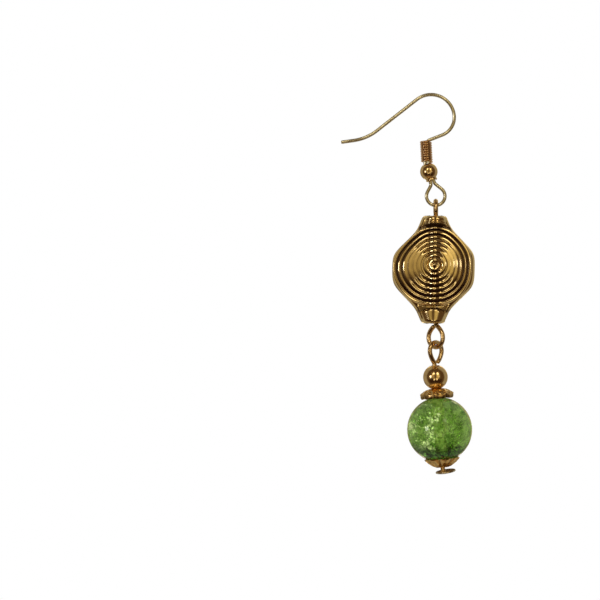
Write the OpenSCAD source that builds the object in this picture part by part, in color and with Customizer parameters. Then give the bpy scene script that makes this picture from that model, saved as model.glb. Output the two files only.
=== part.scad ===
// Dangle earring: a wire ear hook, a ripple bead on an eye pin and a glass bead on a head pin.
// The front faces -Y. The origin is the underside of the hook's bow, where the earring hangs in the ear.

/* [Ear hook] */
// Diameter of the hook's wire
hook_wire = 0.54; // [0.5:0.01:0.58]
// Bend radius of the bow, to the middle of the wire
bow_r = 3.57; // [3.4:0.01:4]
// Bend radius where the wire comes back under the bow
return_r = 2.9; // [2.7:0.1:3.2]
// Slope of the straight leg behind the ear, in degrees
leg_slope = 38; // [30:1:45]
// Length of the straight leg
leg_len = 7.8; // [5:0.1:12]
// Bend radius between the leg and the tail
tail_r = 7.4; // [4:0.1:12]
// Slope of the tail, in degrees
tail_slope = 8; // [0:1:20]
// Length of the straight tail
tail_len = 2; // [1:0.1:4]
// Slope of the short run back to the coil, in degrees
run_slope = 21.4; // [18:0.2:25]
// Length of the short run back to the coil
run_len = 2.15; // [1.8:0.05:2.4]
// Lean of the coil, in degrees
coil_lean = 3; // [2:1:8]
// Lean of the ball below the coil, in degrees
ball_lean = 18; // [10:0.5:20]
// Bend radius of the hook's own loop
hook_loop_r = 1.42; // [1.3:0.02:1.6]
// Bend of the right wire where it leaves the ball, in degrees
right_spread = 33; // [25:1:45]
// Bend of the left wire where it leaves the ball, in degrees
left_spread = 46; // [40:1:55]

/* [Coil and hook ball] */
// Diameter of the coil's wire
coil_wire = 0.33; // [0.28:0.01:0.34]
// Turns of the coil
coil_turns = 9; // [7:1:9]
// Rise of one turn
coil_pitch = 0.36; // [0.35:0.01:0.37]
// Diameter of the ball on the hook
hook_ball_d = 2.7; // [2.6:0.1:3]

/* [Eye pin and ripple bead] */
// Diameter of the wire of both pins
pin_wire = 0.7; // [0.6:0.02:0.76]
// Bend radius of the eye above the ripple bead
upper_eye_r = 1.1; // [1.05:0.05:1.3]
// Bend radius of the eye below the ripple bead
lower_eye_r = 1.5; // [1.4:0.05:1.55]
// Bend of the wire where it leaves the ripple bead for that eye, in degrees
lower_eye_spread = 60; // [58:0.5:60]
// Bend radius of the long sides of that eye
lower_side_r = 3; // [2.9:0.05:3.2]
// Length of the ripple bead along its hole
bead_len = 16.5; // [14:0.1:20]
// Width of the ripple bead
bead_w = 12.7; // [11:0.1:15]
// Thickness of the ripple bead
bead_t = 5.6; // [5:0.1:7]
// Diameter of the hole in the ripple bead
bead_bore = 1.8; // [1.6:0.05:1.9]
// Radius of the round tube at each end of the ripple bead
tube_r = 1.86; // [1.6:0.02:1.9]
// Lean of the ripple bead on its pin, in degrees
bead_lean = 1.2; // [0:0.1:1.5]
// Rings of the ripple pattern
ring_count = 8; // [6:1:10]
// Height of a ring above its groove
ring_depth = 0.22; // [0.16:0.02:0.34]
// Height of the middle of the rings above the middle of the bead
ring_rise = 0.75; // [0:0.05:1]

/* [Drop] */
// Lean of the head pin below its loop, in degrees
pin_lean = 4.6; // [0:0.2:5]
// Bend radius of the head pin's loop
head_loop_r = 1.3; // [1.25:0.05:1.35]
// Diameter of the spacer ball
spacer_d = 3.8; // [3.4:0.1:4.2]
// Diameter of the glass bead
glass_d = 10; // [9.6:0.1:10.4]
// Diameter of the hole in the glass bead
glass_bore = 1.2; // [1:0.1:1.6]
// Petals of each bead cap
petals = 8; // [6:1:10]
// Diameter of the flat head of the pin
disc_d = 3.1; // [2.5:0.1:3.5]

/* [Hidden] */
$fn = 48;

// Clearance where one link of the chain rests in another
gap = 0.05;

// A pose in the plane of the hook is [x, z, heading]. A step of wire is [run, radius, turn],
// and a positive turn is to the left.
function after_run(pose, run) =
    [pose[0] + run * cos(pose[2]), pose[1] + run * sin(pose[2]), pose[2]];
function after_bend(pose, r, turn) =
    let (side = turn < 0 ? -1 : 1, a = pose[2], b = a + turn)
    [pose[0] + side * r * (sin(b) - sin(a)), pose[1] - side * r * (cos(b) - cos(a)), b];
function bend_middle(pose, r, turn) =
    let (side = turn < 0 ? -1 : 1)
    [pose[0] - side * r * sin(pose[2]), pose[1] + side * r * cos(pose[2])];
function after_steps(pose, steps, count) =
    count == 0 ? pose
    : let (last = steps[count - 1])
      after_bend(after_run(after_steps(pose, steps, count - 1), last[0]), last[1], last[2]);

// The two wires that run side by side through the coil and the ball
pair = hook_wire + 0.03;
bow_turn = 85;
entry_r = 0.38;
knee_r = 4;
neck_r = 0.6;
coil_h = coil_turns * coil_pitch;
coil_r = pair / 2 + hook_wire / 2 + 0.03 + coil_wire / 2;
coil_run = coil_h - 0.15;
hook_ball_bore = pair + hook_wire + 0.12;
hook_ball_half = sqrt(pow(hook_ball_d, 2) - pow(hook_ball_bore, 2)) / 2;
lip = 0.3;
ball_run = 2.1;

// Each side of the loop: its reach to the side and down, before its straight run is added
function loop_side(a) = [
    hook_loop_r * cos(a) - pair / 2 - neck_r * (1 - cos(a)),
    (neck_r + hook_loop_r) * sin(a)];
right = loop_side(right_spread);
left = loop_side(left_spread);
loop_shift = (left[0] / tan(left_spread) + left[1] - right[0] / tan(right_spread) - right[1])
    / (1 / tan(right_spread) + 1 / tan(left_spread));
ear_steps = [
    [0, bow_r, -leg_slope],
    [leg_len, tail_r, leg_slope - tail_slope],
    [tail_len, 0, 0]
];
shank_steps = [
    [0, bow_r, -bow_turn],
    [0, return_r, bow_turn + run_slope - 180],
    [run_len, entry_r, 90 + coil_lean - run_slope],
    [coil_run, knee_r, ball_lean - coil_lean],
    [ball_run, neck_r, right_spread],
    [(right[0] + loop_shift) / sin(right_spread), hook_loop_r, -180 - right_spread - left_spread],
    [(left[0] - loop_shift) / sin(left_spread), neck_r, left_spread],
    [ball_run, knee_r + pair, coil_lean - ball_lean],
    [coil_run / 2, 0, 0]
];
bow_top = [0, hook_wire / 2, 0];
coil_pose = after_steps(bow_top, shank_steps, 3);
ball_pose = after_run(after_steps(bow_top, shank_steps, 4), 0.3);
loop_pose = after_run(after_steps(bow_top, shank_steps, 5), shank_steps[5][0]);

// The vertical line that the eye pin hangs on, and the heights along it
hook_loop = bend_middle(loop_pose, hook_loop_r, -1);
drop_x = hook_loop[0];
swing_z = hook_loop[1] - hook_loop_r;
upper_eye_z = swing_z + hook_wire / 2 + gap + pin_wire / 2 - upper_eye_r;
bead_top = upper_eye_z - upper_eye_r - pin_wire / 2 + 0.25;
bead_z = bead_top - bead_len / 2;
drop_swing_z = bead_z - bead_len / 2 - 3.7;
lower_eye_z = drop_swing_z + lower_eye_r;
bead_shift = -0.25;
eye_neck_r = 0.45;
eye_turn = 45;

// Heights along the head pin, measured from the middle of the glass bead
spacer_z = 8.1;
pin_top_z = 10.1;
spacer_bore = 0.9;
disc_t = 0.25;
disc_z = -6.35;
head_spread = 44;
head_side_r = 3.5;
head_neck_r = 0.5;
head_aside = 0.3;
head_inner = acos((head_side_r * cos(head_spread) - head_neck_r * (1 - cos(head_spread)) - head_aside)
    / (head_side_r - head_loop_r));
head_rise = (head_neck_r + head_side_r) * sin(head_spread) - (head_side_r - head_loop_r) * sin(head_inner);
head_top_z = drop_swing_z + pin_wire + gap;
pin_bend_z = head_top_z - head_loop_r - head_rise;
pin_bend = [drop_x - head_aside * cos(eye_turn), -head_aside * sin(eye_turn), pin_bend_z];

// The rounding where two stretches of wire meet, a hair wider than the wire
hair = 0.03;
module joint(d) {
    sphere(d = d + hair);
}

// A wire bent in the XZ plane, from the origin along +X. Its stretches stop a hair short of the
// joints between them.
module bent_wire(steps, d, first = 0) {
    run = steps[first][0];
    r = steps[first][1];
    turn = steps[first][2];
    if (run > 0) translate([hair, 0, 0]) rotate([0, 90, 0]) cylinder(d = d, h = run - 2 * hair);
    translate([run, 0, 0]) {
        if (run > 0 && r > 0) joint(d);
        if (r > 0) {
            skip = hair / r * 180 / PI;
            mirror([0, 0, turn < 0 ? 1 : 0]) translate([0, 0, r]) rotate([90, 0, 0])
                rotate([0, 0, skip - 90])
                rotate_extrude(angle = abs(turn) - 2 * skip) translate([r, 0]) circle(d = d);
        }
        end = after_bend([0, 0, 0], r, turn);
        translate([end[0], 0, end[1]]) rotate([0, -turn, 0]) if (first + 1 < len(steps)) {
            joint(d);
            bent_wire(steps, d, first + 1);
        }
    }
}

// Places its children at a pose of the hook's wire, with their +Z along the wire
module on_wire(pose) {
    translate([pose[0], 0, pose[1]]) rotate([0, 90 - pose[2], 0]) children();
}

module ear_hook() {
    color("darkkhaki") translate([0, 0, hook_wire / 2]) {
        joint(hook_wire);
        mirror([1, 0, 0]) bent_wire(ear_steps, hook_wire);
        bent_wire(shank_steps, hook_wire);
    }
}

// A round wire swept along a list of [middle, side, lift] frames, closed with flat ends
module swept_wire(frames, d, sides) {
    rings = len(frames);
    points = [for (f = frames, k = [0 : sides - 1])
        f[0] + d / 2 * (cos(360 * k / sides) * f[1] + sin(360 * k / sides) * f[2])];
    skin = [for (i = [0 : rings - 2], k = [0 : sides - 1]) let (n = (k + 1) % sides)
        each [[i * sides + k, (i + 1) * sides + n, (i + 1) * sides + k],
              [i * sides + k, i * sides + n, (i + 1) * sides + n]]];
    ends = [[for (k = [sides - 1 : -1 : 0]) k],
            [for (k = [0 : sides - 1]) (rings - 1) * sides + k]];
    polyhedron(points, concat(skin, ends));
}

module coil_wrap() {
    rings_per_turn = 16;
    start = 225;
    frames = [for (i = [0 : coil_turns * rings_per_turn]) let (
        a = start + 360 * i / rings_per_turn,
        slope = atan2(coil_pitch, 2 * PI * coil_r))
        [[coil_r * cos(a), coil_r * sin(a), coil_pitch * i / rings_per_turn],
         [cos(a), sin(a), 0],
         [sin(a) * sin(slope), -cos(a) * sin(slope), cos(slope)]]];
    first_pass = coil_wire / 2 - 0.06 - coil_pitch * (1 - (start - 180) / 360);
    color("goldenrod") on_wire(coil_pose) translate([pair / 2, 0, first_pass])
        swept_wire(frames, coil_wire, 8);
}

// A ball with a hole along Z
module drilled_ball(d, bore) {
    difference() {
        sphere(d = d);
        translate([0, 0, -d]) cylinder(d = bore, h = 2 * d);
    }
}

module hook_ball() {
    color("goldenrod") on_wire(ball_pose) translate([pair / 2, 0, 0]) difference() {
        union() {
            sphere(d = hook_ball_d);
            cylinder(d = hook_ball_bore + 0.5, h = hook_ball_half + lip);
        }
        translate([0, 0, -hook_ball_d]) cylinder(d = hook_ball_bore, h = 2 * hook_ball_d);
    }
}

// An eye that ends a straight wire: a short bend away, most of a circle and a short straight
// end that closes on the wire
function eye_steps(run, r, close, end) =
    let (away = acos(eye_neck_r / (eye_neck_r + r)))
    [[run, eye_neck_r, away], [0, r, -180 - away - close], [end, 0, 0]];
function eye_reach(r) = sqrt(pow(eye_neck_r + r, 2) - pow(eye_neck_r, 2));

// A pear-shaped eye: the wire spreads, curves in to the round end and comes back to the neck
lower_inner = acos((lower_side_r * cos(lower_eye_spread) - eye_neck_r * (1 - cos(lower_eye_spread)))
    / (lower_side_r - lower_eye_r));
lower_eye_fall = (eye_neck_r + lower_side_r) * sin(lower_eye_spread)
    - (lower_side_r - lower_eye_r) * sin(lower_inner);
function pear_eye_steps(run) =
    let (side = lower_eye_spread - lower_inner)
    [[run, eye_neck_r, lower_eye_spread], [0, lower_side_r, -side],
     [0, lower_eye_r, -180 - 2 * lower_inner], [0, lower_side_r, 2.5 - side]];

module eye_pin() {
    up = upper_eye_z - eye_reach(upper_eye_r) - bead_z;
    down = bead_z - lower_eye_z - lower_eye_fall;
    color("goldenrod") translate([drop_x, 0, bead_z]) {
        joint(pin_wire);
        rotate([0, 0, 90]) rotate([0, -90, 0]) bent_wire(eye_steps(up, upper_eye_r, 30, 0.4), pin_wire);
        rotate([0, 0, -eye_turn]) rotate([0, 90, 0])
            bent_wire(pear_eye_steps(down), pin_wire);
    }
}

// Distance from the middle of the rings to the edge of a polygon with soft corners, towards the
// angle a. A side is [angle of its normal, distance from the middle of the bead].
function reach(sides, a, sharp) =
    1 / pow([for (s = sides) pow(max(0, cos(a - s[0])) / (s[1] - ring_rise * sin(s[0])), sharp)]
        * [for (s = sides) 1], 1 / sharp);

// The outline of the ripple bead is its six-sided body and the two necks at its ends
module ripple_bead() {
    half_w = bead_w / 2;
    rim = 0.65;
    body = [[0, half_w - 0.1], [45, 6.25], [135, 6.12], [180, half_w + 0.1], [225, 6.22], [315, 6.1]];
    necks = [[19, 4.32], [161, 4.5], [199, 4.44], [341, 4.28], [90, bead_len / 2], [270, bead_len / 2]];
    field = [[0, 5.6], [45, 6.05], [90, 6.65], [135, 6], [180, 6.4], [225, 5.9], [270, 5.45], [315, 5.55]];
    tube_top = 6.9;
    tube_bottom = 6;
    spokes = 60;
    edge_h = 1.5;
    rim_h = 1.3;
    neck_h = 1.1;
    halves = 2 * ring_count;

    // Each row of the height profile is [distance from the middle of the rings, height]
    function profile(a) = let (
        out = pow(pow(reach(body, a, 16), 24) + pow(reach(necks, a, 30), 24), 1 / 24),
        edge = reach(field, a, 8),
        neck = min(1, max(0, (out - edge - rim) / 0.8)),
        top_h = rim_h + (neck_h - rim_h) * neck,
        curve = min(0.9, 0.75 * (out - edge)))
        concat(
            [for (k = [1 : halves]) let (u = k / halves)
                [edge * u, bead_t / 2 - (bead_t / 2 - edge_h) * u * u
                    - (k % 2 == 1 ? ring_depth : 0)]],
            [for (q = [0, 30, 60, 90]) [out - curve * (1 - sin(q)), top_h * cos(q)]]);
    rows = halves + 4;
    table = [for (i = [0 : spokes - 1]) profile(360 * i / spokes)];
    function face(side) = [for (k = [0 : rows - (side > 0 ? 1 : 2)], i = [0 : spokes - 1])
        let (p = table[i][k], a = 360 * i / spokes)
        [p[0] * cos(a), -side * p[1], ring_rise + p[0] * sin(a)]];
    front = concat([[0, -bead_t / 2, ring_rise]], face(1));
    back = concat([[0, bead_t / 2, ring_rise]], face(-1));
    points = concat(front, back);
    base = len(front);
    function at(side, k, i) = side > 0 || k == rows - 1
        ? 1 + k * spokes + i % spokes : base + 1 + k * spokes + i % spokes;
    function wind(side, t) = side > 0 ? t : [t[2], t[1], t[0]];
    triangles = [for (side = [1, -1], i = [0 : spokes - 1]) each concat(
        [wind(side, [side > 0 ? 0 : base, at(side, 0, i + 1), at(side, 0, i)])],
        [for (k = [0 : rows - 2]) each [
            wind(side, [at(side, k, i), at(side, k, i + 1), at(side, k + 1, i + 1)]),
            wind(side, [at(side, k, i), at(side, k + 1, i + 1), at(side, k + 1, i)])]])];
    root = 4;
    root_r = 1.05;
    round = 0.4;
    color("gold") translate([drop_x + bead_shift, 0, bead_z]) rotate([0, bead_lean, 0]) difference() {
        union() {
            polyhedron(points, triangles);
            for (side = [0, 1]) mirror([0, 0, side]) rotate_extrude()
                let (start = side == 0 ? tube_top : tube_bottom) polygon([
                    [0, root], [root_r, root], [root_r, start], [tube_r, start + 0.1],
                    [tube_r, bead_len / 2 - round], [tube_r - round / 3, bead_len / 2 - round / 3],
                    [tube_r - round, bead_len / 2], [0, bead_len / 2]]);
        }
        translate([0, 0, -bead_len]) cylinder(d = bead_bore, h = 2 * bead_len);
    }
}

module head_pin() {
    color("goldenrod") translate(pin_bend) {
        rotate([0, 0, eye_turn]) rotate([0, -90, 0])
            bent_wire([[0, head_neck_r, head_spread], [0, head_side_r, head_inner - head_spread],
                [0, head_loop_r, -195 - head_inner], [0, 3, -34]], pin_wire);
        joint(pin_wire);
        rotate([0, -pin_lean, 0]) translate([0, 0, disc_z - pin_top_z]) {
            translate([0, 0, -disc_t / 2])
                cylinder(d = pin_wire, h = pin_top_z - disc_z + disc_t / 2 - hair);
            translate([0.4, 0, -disc_t]) rotate([8, 0, 0]) cylinder(d = disc_d, h = disc_t);
        }
    }
}

// Places its children with the middle of the glass bead at their origin and the pin along Z
module on_pin() {
    translate(pin_bend) rotate([0, -pin_lean, 0]) translate([0, 0, -pin_top_z])
        children();
}

module spacer_ball() {
    color("goldenrod") on_pin() translate([0, 0, spacer_z]) drilled_ball(spacer_d, spacer_bore);
}

module crackle_bead() {
    color("yellowgreen") on_pin() drilled_ball(glass_d, glass_bore);
}

// A thin cap over one end of the glass bead. Its wall is a list of [radius, height] points.
module bead_cap(wall, rim_z) {
    notch_r = 0.34;
    difference() {
        rotate_extrude($fn = 96) polygon(wall);
        for (i = [0 : petals - 1]) rotate([0, 0, 360 * (i + 0.5) / petals])
            translate([1.9, 0, rim_z]) rotate([0, 90, 0]) cylinder(r = notch_r, h = 2);
    }
}

module upper_cap() {
    wall = [[0.5, 6.15], [1.6, 6.15], [2.3, 5.85], [2.65, 5.45], [2.6, 4.95], [2.45, 4.75],
            [2.25, 4.85], [2.3, 5.3], [2, 5.6], [1.5, 5.82], [0.5, 5.82]];
    color("goldenrod") on_pin() bead_cap(wall, 4.65);
}

module lower_cap() {
    wall = [[0.5, 5.85], [0.8, 5.85], [1.3, 5.65], [2.2, 5.05], [2.74, 4.4], [2.6, 4.32],
            [2, 4.86], [1.2, 5.32], [0.5, 5.5]];
    color("goldenrod") on_pin() mirror([0, 0, 1]) bead_cap(wall, 4.2);
}

ear_hook();
coil_wrap();
hook_ball();
eye_pin();
ripple_bead();
head_pin();
spacer_ball();
upper_cap();
crackle_bead();
lower_cap();
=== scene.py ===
"""Dangle earring: a wire ear hook, a ripple bead on an eye pin and a crackled glass drop."""

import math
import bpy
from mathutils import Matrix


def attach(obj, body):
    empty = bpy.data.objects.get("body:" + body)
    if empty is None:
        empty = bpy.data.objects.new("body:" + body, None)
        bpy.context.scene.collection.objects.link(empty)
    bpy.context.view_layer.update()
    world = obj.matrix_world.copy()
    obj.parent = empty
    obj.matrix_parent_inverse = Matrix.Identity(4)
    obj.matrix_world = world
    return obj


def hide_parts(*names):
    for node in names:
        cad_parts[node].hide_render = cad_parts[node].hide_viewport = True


bl_info = {
    "name": "Dangle Earring",
    "version": (1, 0, 0),
    "blender": (4, 5, 0),
    "location": "3D View > Sidebar > Earring",
    "description": "Builds the wires, beads, caps and glass of a dangle earring over its fixed frame",
    "category": "Add Mesh",
}

import bmesh
import bpy
import numpy as np
from mathutils import Matrix, Vector

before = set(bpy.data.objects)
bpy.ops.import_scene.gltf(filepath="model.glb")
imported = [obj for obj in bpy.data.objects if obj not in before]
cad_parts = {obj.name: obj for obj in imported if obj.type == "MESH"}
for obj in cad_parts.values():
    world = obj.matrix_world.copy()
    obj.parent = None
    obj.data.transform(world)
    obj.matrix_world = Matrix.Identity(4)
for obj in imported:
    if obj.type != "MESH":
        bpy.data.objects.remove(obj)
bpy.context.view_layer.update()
MM = 0.001


# Sizes and colours that a user would change; a length's default is in millimetres

def length(name, default, description, low=0):
    return bpy.props.FloatProperty(name=name, description=description, default=default * MM, min=low * MM,
                                   subtype="DISTANCE", unit="LENGTH", precision=5)


def angle(name, default, description):
    return bpy.props.FloatProperty(name=name, description=description, default=math.radians(default),
                                   subtype="ANGLE", unit="ROTATION")


def count(name, default, description):
    return bpy.props.IntProperty(name=name, description=description, default=default, min=1)


def share(name, default, description):
    return bpy.props.FloatProperty(name=name, description=description, default=default,
                                   min=0.0, max=1.0, subtype="FACTOR")


def amount(name, default, description):
    return bpy.props.FloatProperty(name=name, description=description, default=default, min=0.0)


def colour(name, default, description):
    return bpy.props.FloatVectorProperty(name=name, description=description, default=default,
                                         size=3, min=0.0, max=1.0, subtype="COLOR")


class EarringWires(bpy.types.PropertyGroup):
    """Sizes of the hook, the coil and the two pins"""
    hook_wire: length("Hook wire", 0.54, "Diameter of the hook's wire")
    pin_wire: length("Pin wire", 0.70, "Diameter of the wire of both pins")
    coil_wire: length("Coil wire", 0.33, "Diameter of the coil's wire")
    coil_turns: count("Coil turns", 9, "Turns of the coil round the hook")
    coil_pitch: length("Coil pitch", 0.36, "Rise of one turn")
    pair: length("Strand spacing", 0.57, "Distance between the hook's two strands in the coil")
    ball: length("Hook ball", 2.7, "Diameter of the ball under the coil")
    head: length("Flat head", 3.1, "Diameter of the flat head of the lower pin")


class EarringBead(bpy.types.PropertyGroup):
    """Sizes of the ripple bead"""
    long: length("Length", 16.5, "Length of the ripple bead along its hole")
    wide: length("Width", 12.7, "Width of the ripple bead")
    thick: length("Thickness", 5.6, "Thickness of the ripple bead at the middle of its rings")
    bore: length("Hole", 1.8, "Diameter of the hole")
    tube: length("Tube", 1.86, "Radius of the round tube at each end")
    rings: count("Rings", 8, "Rings of the ripple pattern")
    ring_depth: length("Ring depth", 0.2, "Height of a ring above its groove")
    rise: length("Ring rise", 0.75, "Height of the middle of the rings above the middle of the bead")
    lean: angle("Lean", 1.2, "Lean of the bead on its pin")
    spine: length("Spine", 0.38, "Height of the bulge that the hole raises down the middle")


class EarringDrop(bpy.types.PropertyGroup):
    """Sizes of the ball, the caps and the glass"""
    lean: angle("Lean", 4.6, "Lean of the lower pin")
    spacer: length("Spacer ball", 3.8, "Diameter of the ball above the cap")
    glass: length("Glass bead", 10.0, "Diameter of the glass bead")
    glass_bore: length("Glass hole", 1.2, "Diameter of the hole in the glass")
    petals: count("Petals", 8, "Petals of each cap")
    cracks: count("Cracks", 1800, "Crack planes inside the glass")
    crack_size: length("Crack size", 0.62, "Width of a middling crack plane")
    seed: count("Seed", 11, "Seed of the crack planes")


class EarringFinish(bpy.types.PropertyGroup):
    """Colours and wear"""
    pale_gold: colour("Pale gold", (0.88, 0.82, 0.62), "Plated hook wire")
    warm_gold: colour("Warm gold", (0.88, 0.64, 0.32), "Balls")
    copper_gold: colour("Copper gold", (0.85, 0.55, 0.30), "Coil")
    cap_gold: colour("Cap gold", (0.97, 0.66, 0.27), "Caps")
    pin_gold: colour("Pin gold", (0.82, 0.58, 0.30), "Wire of the pins")
    antique_gold: colour("Antique gold", (0.97, 0.75, 0.39), "Raised parts of the ripple bead")
    # Colour of the patinated hollows; the same colour is painted shade on the ripple bead's lower and upper
    # sectors, at the creases by its tubes and on the upper cap's turned-down lip. The share below scales both
    # on the ripple bead.
    patina_and_shade: colour("Patina", (0.066, 0.024, 0.016), "Darkened grooves")
    patina_and_shade_share: share("Patina share", 1.0, "How dark the grooves are")
    worn_steel: colour("Worn head", (0.74, 0.67, 0.52), "Flat head, with its plating worn thin")
    glass_green: colour("Glass green", (0.190, 0.330, 0.058), "Body of the glass")
    crack_green: colour("Crack green", (0.62, 0.86, 0.31), "Light caught on the crack planes")


class EarringStage(bpy.types.PropertyGroup):
    """Camera, light and floor"""
    distance: length("Camera distance", 800, "From the camera to the plane of the hook")
    frame_width: length("Frame width", 92.31, "What the picture's width covers at that distance")
    centre_x: length("Frame centre X", -20.17, "Middle of the picture, sideways", -500)
    centre_z: length("Frame centre Z", -31.33, "Middle of the picture, in height", -500)
    floor_z: length("Floor height", -95, "Height of the pale floor under the hanging earring", -500)
    left_lamp: amount("Left lamp", 1.0, "Brightness of the left softbox")
    right_lamp: amount("Right lamp", 1.0, "Brightness of the right softbox")


GROUPS = {"earring_wires": EarringWires, "earring_bead": EarringBead, "earring_drop": EarringDrop,
          "earring_finish": EarringFinish, "earring_stage": EarringStage}


# Meshes

def mesh_object(name, mesh):
    made = bpy.data.objects.new(name, mesh)
    bpy.context.scene.collection.objects.link(made)
    return made


def mesh_from(name, points, faces, edges=()):
    mesh = bpy.data.meshes.new(name)
    mesh.from_pydata([tuple(p) for p in points], [tuple(e) for e in edges], [tuple(f) for f in faces])
    mesh.update()
    return mesh


def attribute(mesh, name, values):
    layer = mesh.attributes.new(name, "FLOAT", "POINT")
    layer.data.foreach_set("value", np.ascontiguousarray(values, dtype=np.float32).ravel())


def coordinates(mesh):
    points = np.empty(len(mesh.vertices) * 3, dtype=np.float32)
    mesh.vertices.foreach_get("co", points)
    return points.reshape(-1, 3)


def face_outwards(mesh, merge=1e-7):
    """Merges doubles and turns every face outwards"""
    shell = bmesh.new()
    shell.from_mesh(mesh)
    bmesh.ops.remove_doubles(shell, verts=shell.verts, dist=merge)
    bmesh.ops.recalc_face_normals(shell, faces=shell.faces)
    shell.to_mesh(mesh)
    shell.free()
    mesh.update()


def smooth(mesh, sharp=40):
    """Smooth shading that breaks at edges sharper than an angle in degrees"""
    mesh.polygons.foreach_set("use_smooth", np.ones(len(mesh.polygons), dtype=bool))
    mesh.set_sharp_from_angle(angle=math.radians(sharp))
    mesh.update()


def band_faces(pairs, columns):
    """Faces between closed rings of points, from each pair of ring numbers"""
    columns_on = [(i, (i + 1) % columns) for i in range(columns)]
    return [(k * columns + i, k * columns + j, m * columns + j, m * columns + i)
            for k, m in pairs for i, j in columns_on]


def lathe(name, profile, segments=96, closed=True):
    """A shell turned round Z from [radius, height] points; a closed profile makes a ring"""
    rows = len(profile)
    turn = np.arange(segments) * 2 * math.pi / segments
    points = [(r * math.cos(a), r * math.sin(a), z) for r, z in profile for a in turn]
    pairs = [(k, (k + 1) % rows) for k in range(rows if closed else rows - 1)]
    mesh = mesh_from(name, points, band_faces(pairs, segments))
    face_outwards(mesh)
    return mesh


def arc(middle, radius, start, end, steps):
    """[radius, height] points on an arc, angles in degrees from the outward direction"""
    return [(middle[0] + radius * math.cos(a), middle[1] + radius * math.sin(a))
            for a in np.radians(np.linspace(start, end, steps))]


def plain_mesh(made):
    """Turns an object with live modifiers into a plain mesh in place"""
    graph = bpy.context.evaluated_depsgraph_get()
    graph.update()
    result = bpy.data.meshes.new_from_object(made.evaluated_get(graph), depsgraph=graph)
    made.modifiers.clear()
    old = made.data
    made.data = result
    result.name = made.name
    if old.users == 0:
        bpy.data.meshes.remove(old)


def carve(made, tool, operation):
    """One exact boolean, applied at once; the tool is removed"""
    cut = made.modifiers.new("cut", "BOOLEAN")
    cut.operation = operation
    cut.solver = "EXACT"
    cut.object = tool
    plain_mesh(made)
    bpy.data.objects.remove(tool)


def settle(made, body, nodes, material=None):
    """Rides on its body, stands for its CAD nodes and takes its material"""
    if material is not None:
        made.data.materials.clear()
        made.data.materials.append(material)
    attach(made, body)
    if nodes:
        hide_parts(*nodes)


# Node trees

class Nodes:
    """Adds nodes to one tree from left to right"""

    def __init__(self, tree):
        self.tree = tree
        self.column = 0

    def add(self, kind, settings=None, inputs=None):
        made = self.tree.nodes.new(kind)
        made.location = (self.column * 190, -(self.column % 3) * 160)
        self.column += 1
        for key, value in (settings or {}).items():
            setattr(made, key, value)
        for key, value in (inputs or {}).items():
            if isinstance(value, bpy.types.NodeSocket):
                self.tree.links.new(value, made.inputs[key])
            else:
                made.inputs[key].default_value = value
        return made

    def form(self, kind, inputs):
        """The geometry that a geometry node puts out"""
        return self.add("GeometryNode" + kind, inputs=inputs).outputs[0]

    def read(self, name):
        """A number that each point of a mesh has under a name"""
        made = self.add("GeometryNodeInputNamedAttribute", {"data_type": "FLOAT"}, {"Name": name})
        return made.outputs["Attribute"]

    def maths(self, operation, *values):
        return self.add("ShaderNodeMath", {"operation": operation}, dict(enumerate(values))).outputs[0]

    def product(self, first, *others):
        for other in others:
            first = self.maths("MULTIPLY", first, other)
        return first

    def vector(self, operation, *values):
        made = self.add("ShaderNodeVectorMath", {"operation": operation}, dict(enumerate(values)))
        return made.outputs["Value" if operation == "LENGTH" else "Vector"]

    def along(self, **values):
        """A vector from its parts X, Y and Z"""
        return self.add("ShaderNodeCombineXYZ", inputs=values).outputs[0]

    def parts(self, vector):
        return self.add("ShaderNodeSeparateXYZ", inputs={0: vector}).outputs

    def mix(self, factor, first, second):
        made = self.add("ShaderNodeMix", {"data_type": "RGBA"}, {0: factor, 6: first, 7: second})
        return made.outputs[2]

    def spread(self, value, low, high, to_low=0.0, to_high=1.0):
        """Maps a range softly to another one, and stays within it"""
        made = self.add("ShaderNodeMapRange", {"interpolation_type": "SMOOTHSTEP"},
                        {0: value, 1: low, 2: high, 3: to_low, 4: to_high})
        return made.outputs[0]

    def spot(self):
        return self.add("ShaderNodeTexCoord").outputs["Object"]

    def noise(self, spot, scale, detail, roughness=0.5):
        made = self.add("ShaderNodeTexNoise", inputs={
            "Vector": spot, "Scale": scale, "Detail": detail, "Roughness": roughness})
        return made.outputs["Fac"]

    def bump(self, strength, distance, height):
        made = self.add("ShaderNodeBump", inputs={
            "Strength": strength, "Distance": distance, "Height": height})
        return made.outputs[0]

    def surface(self, kind, inputs):
        """The shader that the material or the world ends in"""
        end = next(node for node in self.tree.nodes if node.type.startswith("OUTPUT"))
        end.location = (2400, 0)
        self.tree.links.new(self.add(kind, inputs=inputs).outputs[0], end.inputs["Surface"])


def emptied(tree):
    """A material's or the world's tree with nothing but its output left"""
    for node in list(tree.nodes):
        if not node.type.startswith("OUTPUT"):
            tree.nodes.remove(node)
    return Nodes(tree)


def new_sockets(tree, way, rows):
    """Named sockets from rows of name, kind and, where it has one, default"""
    for label, kind, *default in rows:
        socket = tree.interface.new_socket(label, in_out=way, socket_type="NodeSocket" + kind)
        if default:
            socket.default_value = default[0]


def shader_group(name, inputs, outputs, fill):
    """A node group that materials share, built once by a function that gives its outputs"""
    if name in bpy.data.node_groups:
        return bpy.data.node_groups[name]
    tree = bpy.data.node_groups.new(name, "ShaderNodeTree")
    new_sockets(tree, "INPUT", inputs)
    new_sockets(tree, "OUTPUT", outputs)
    nodes = Nodes(tree)
    results = fill(nodes, nodes.add("NodeGroupInput").outputs)
    nodes.add("NodeGroupOutput", inputs=dict(enumerate(results)))
    return tree


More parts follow.
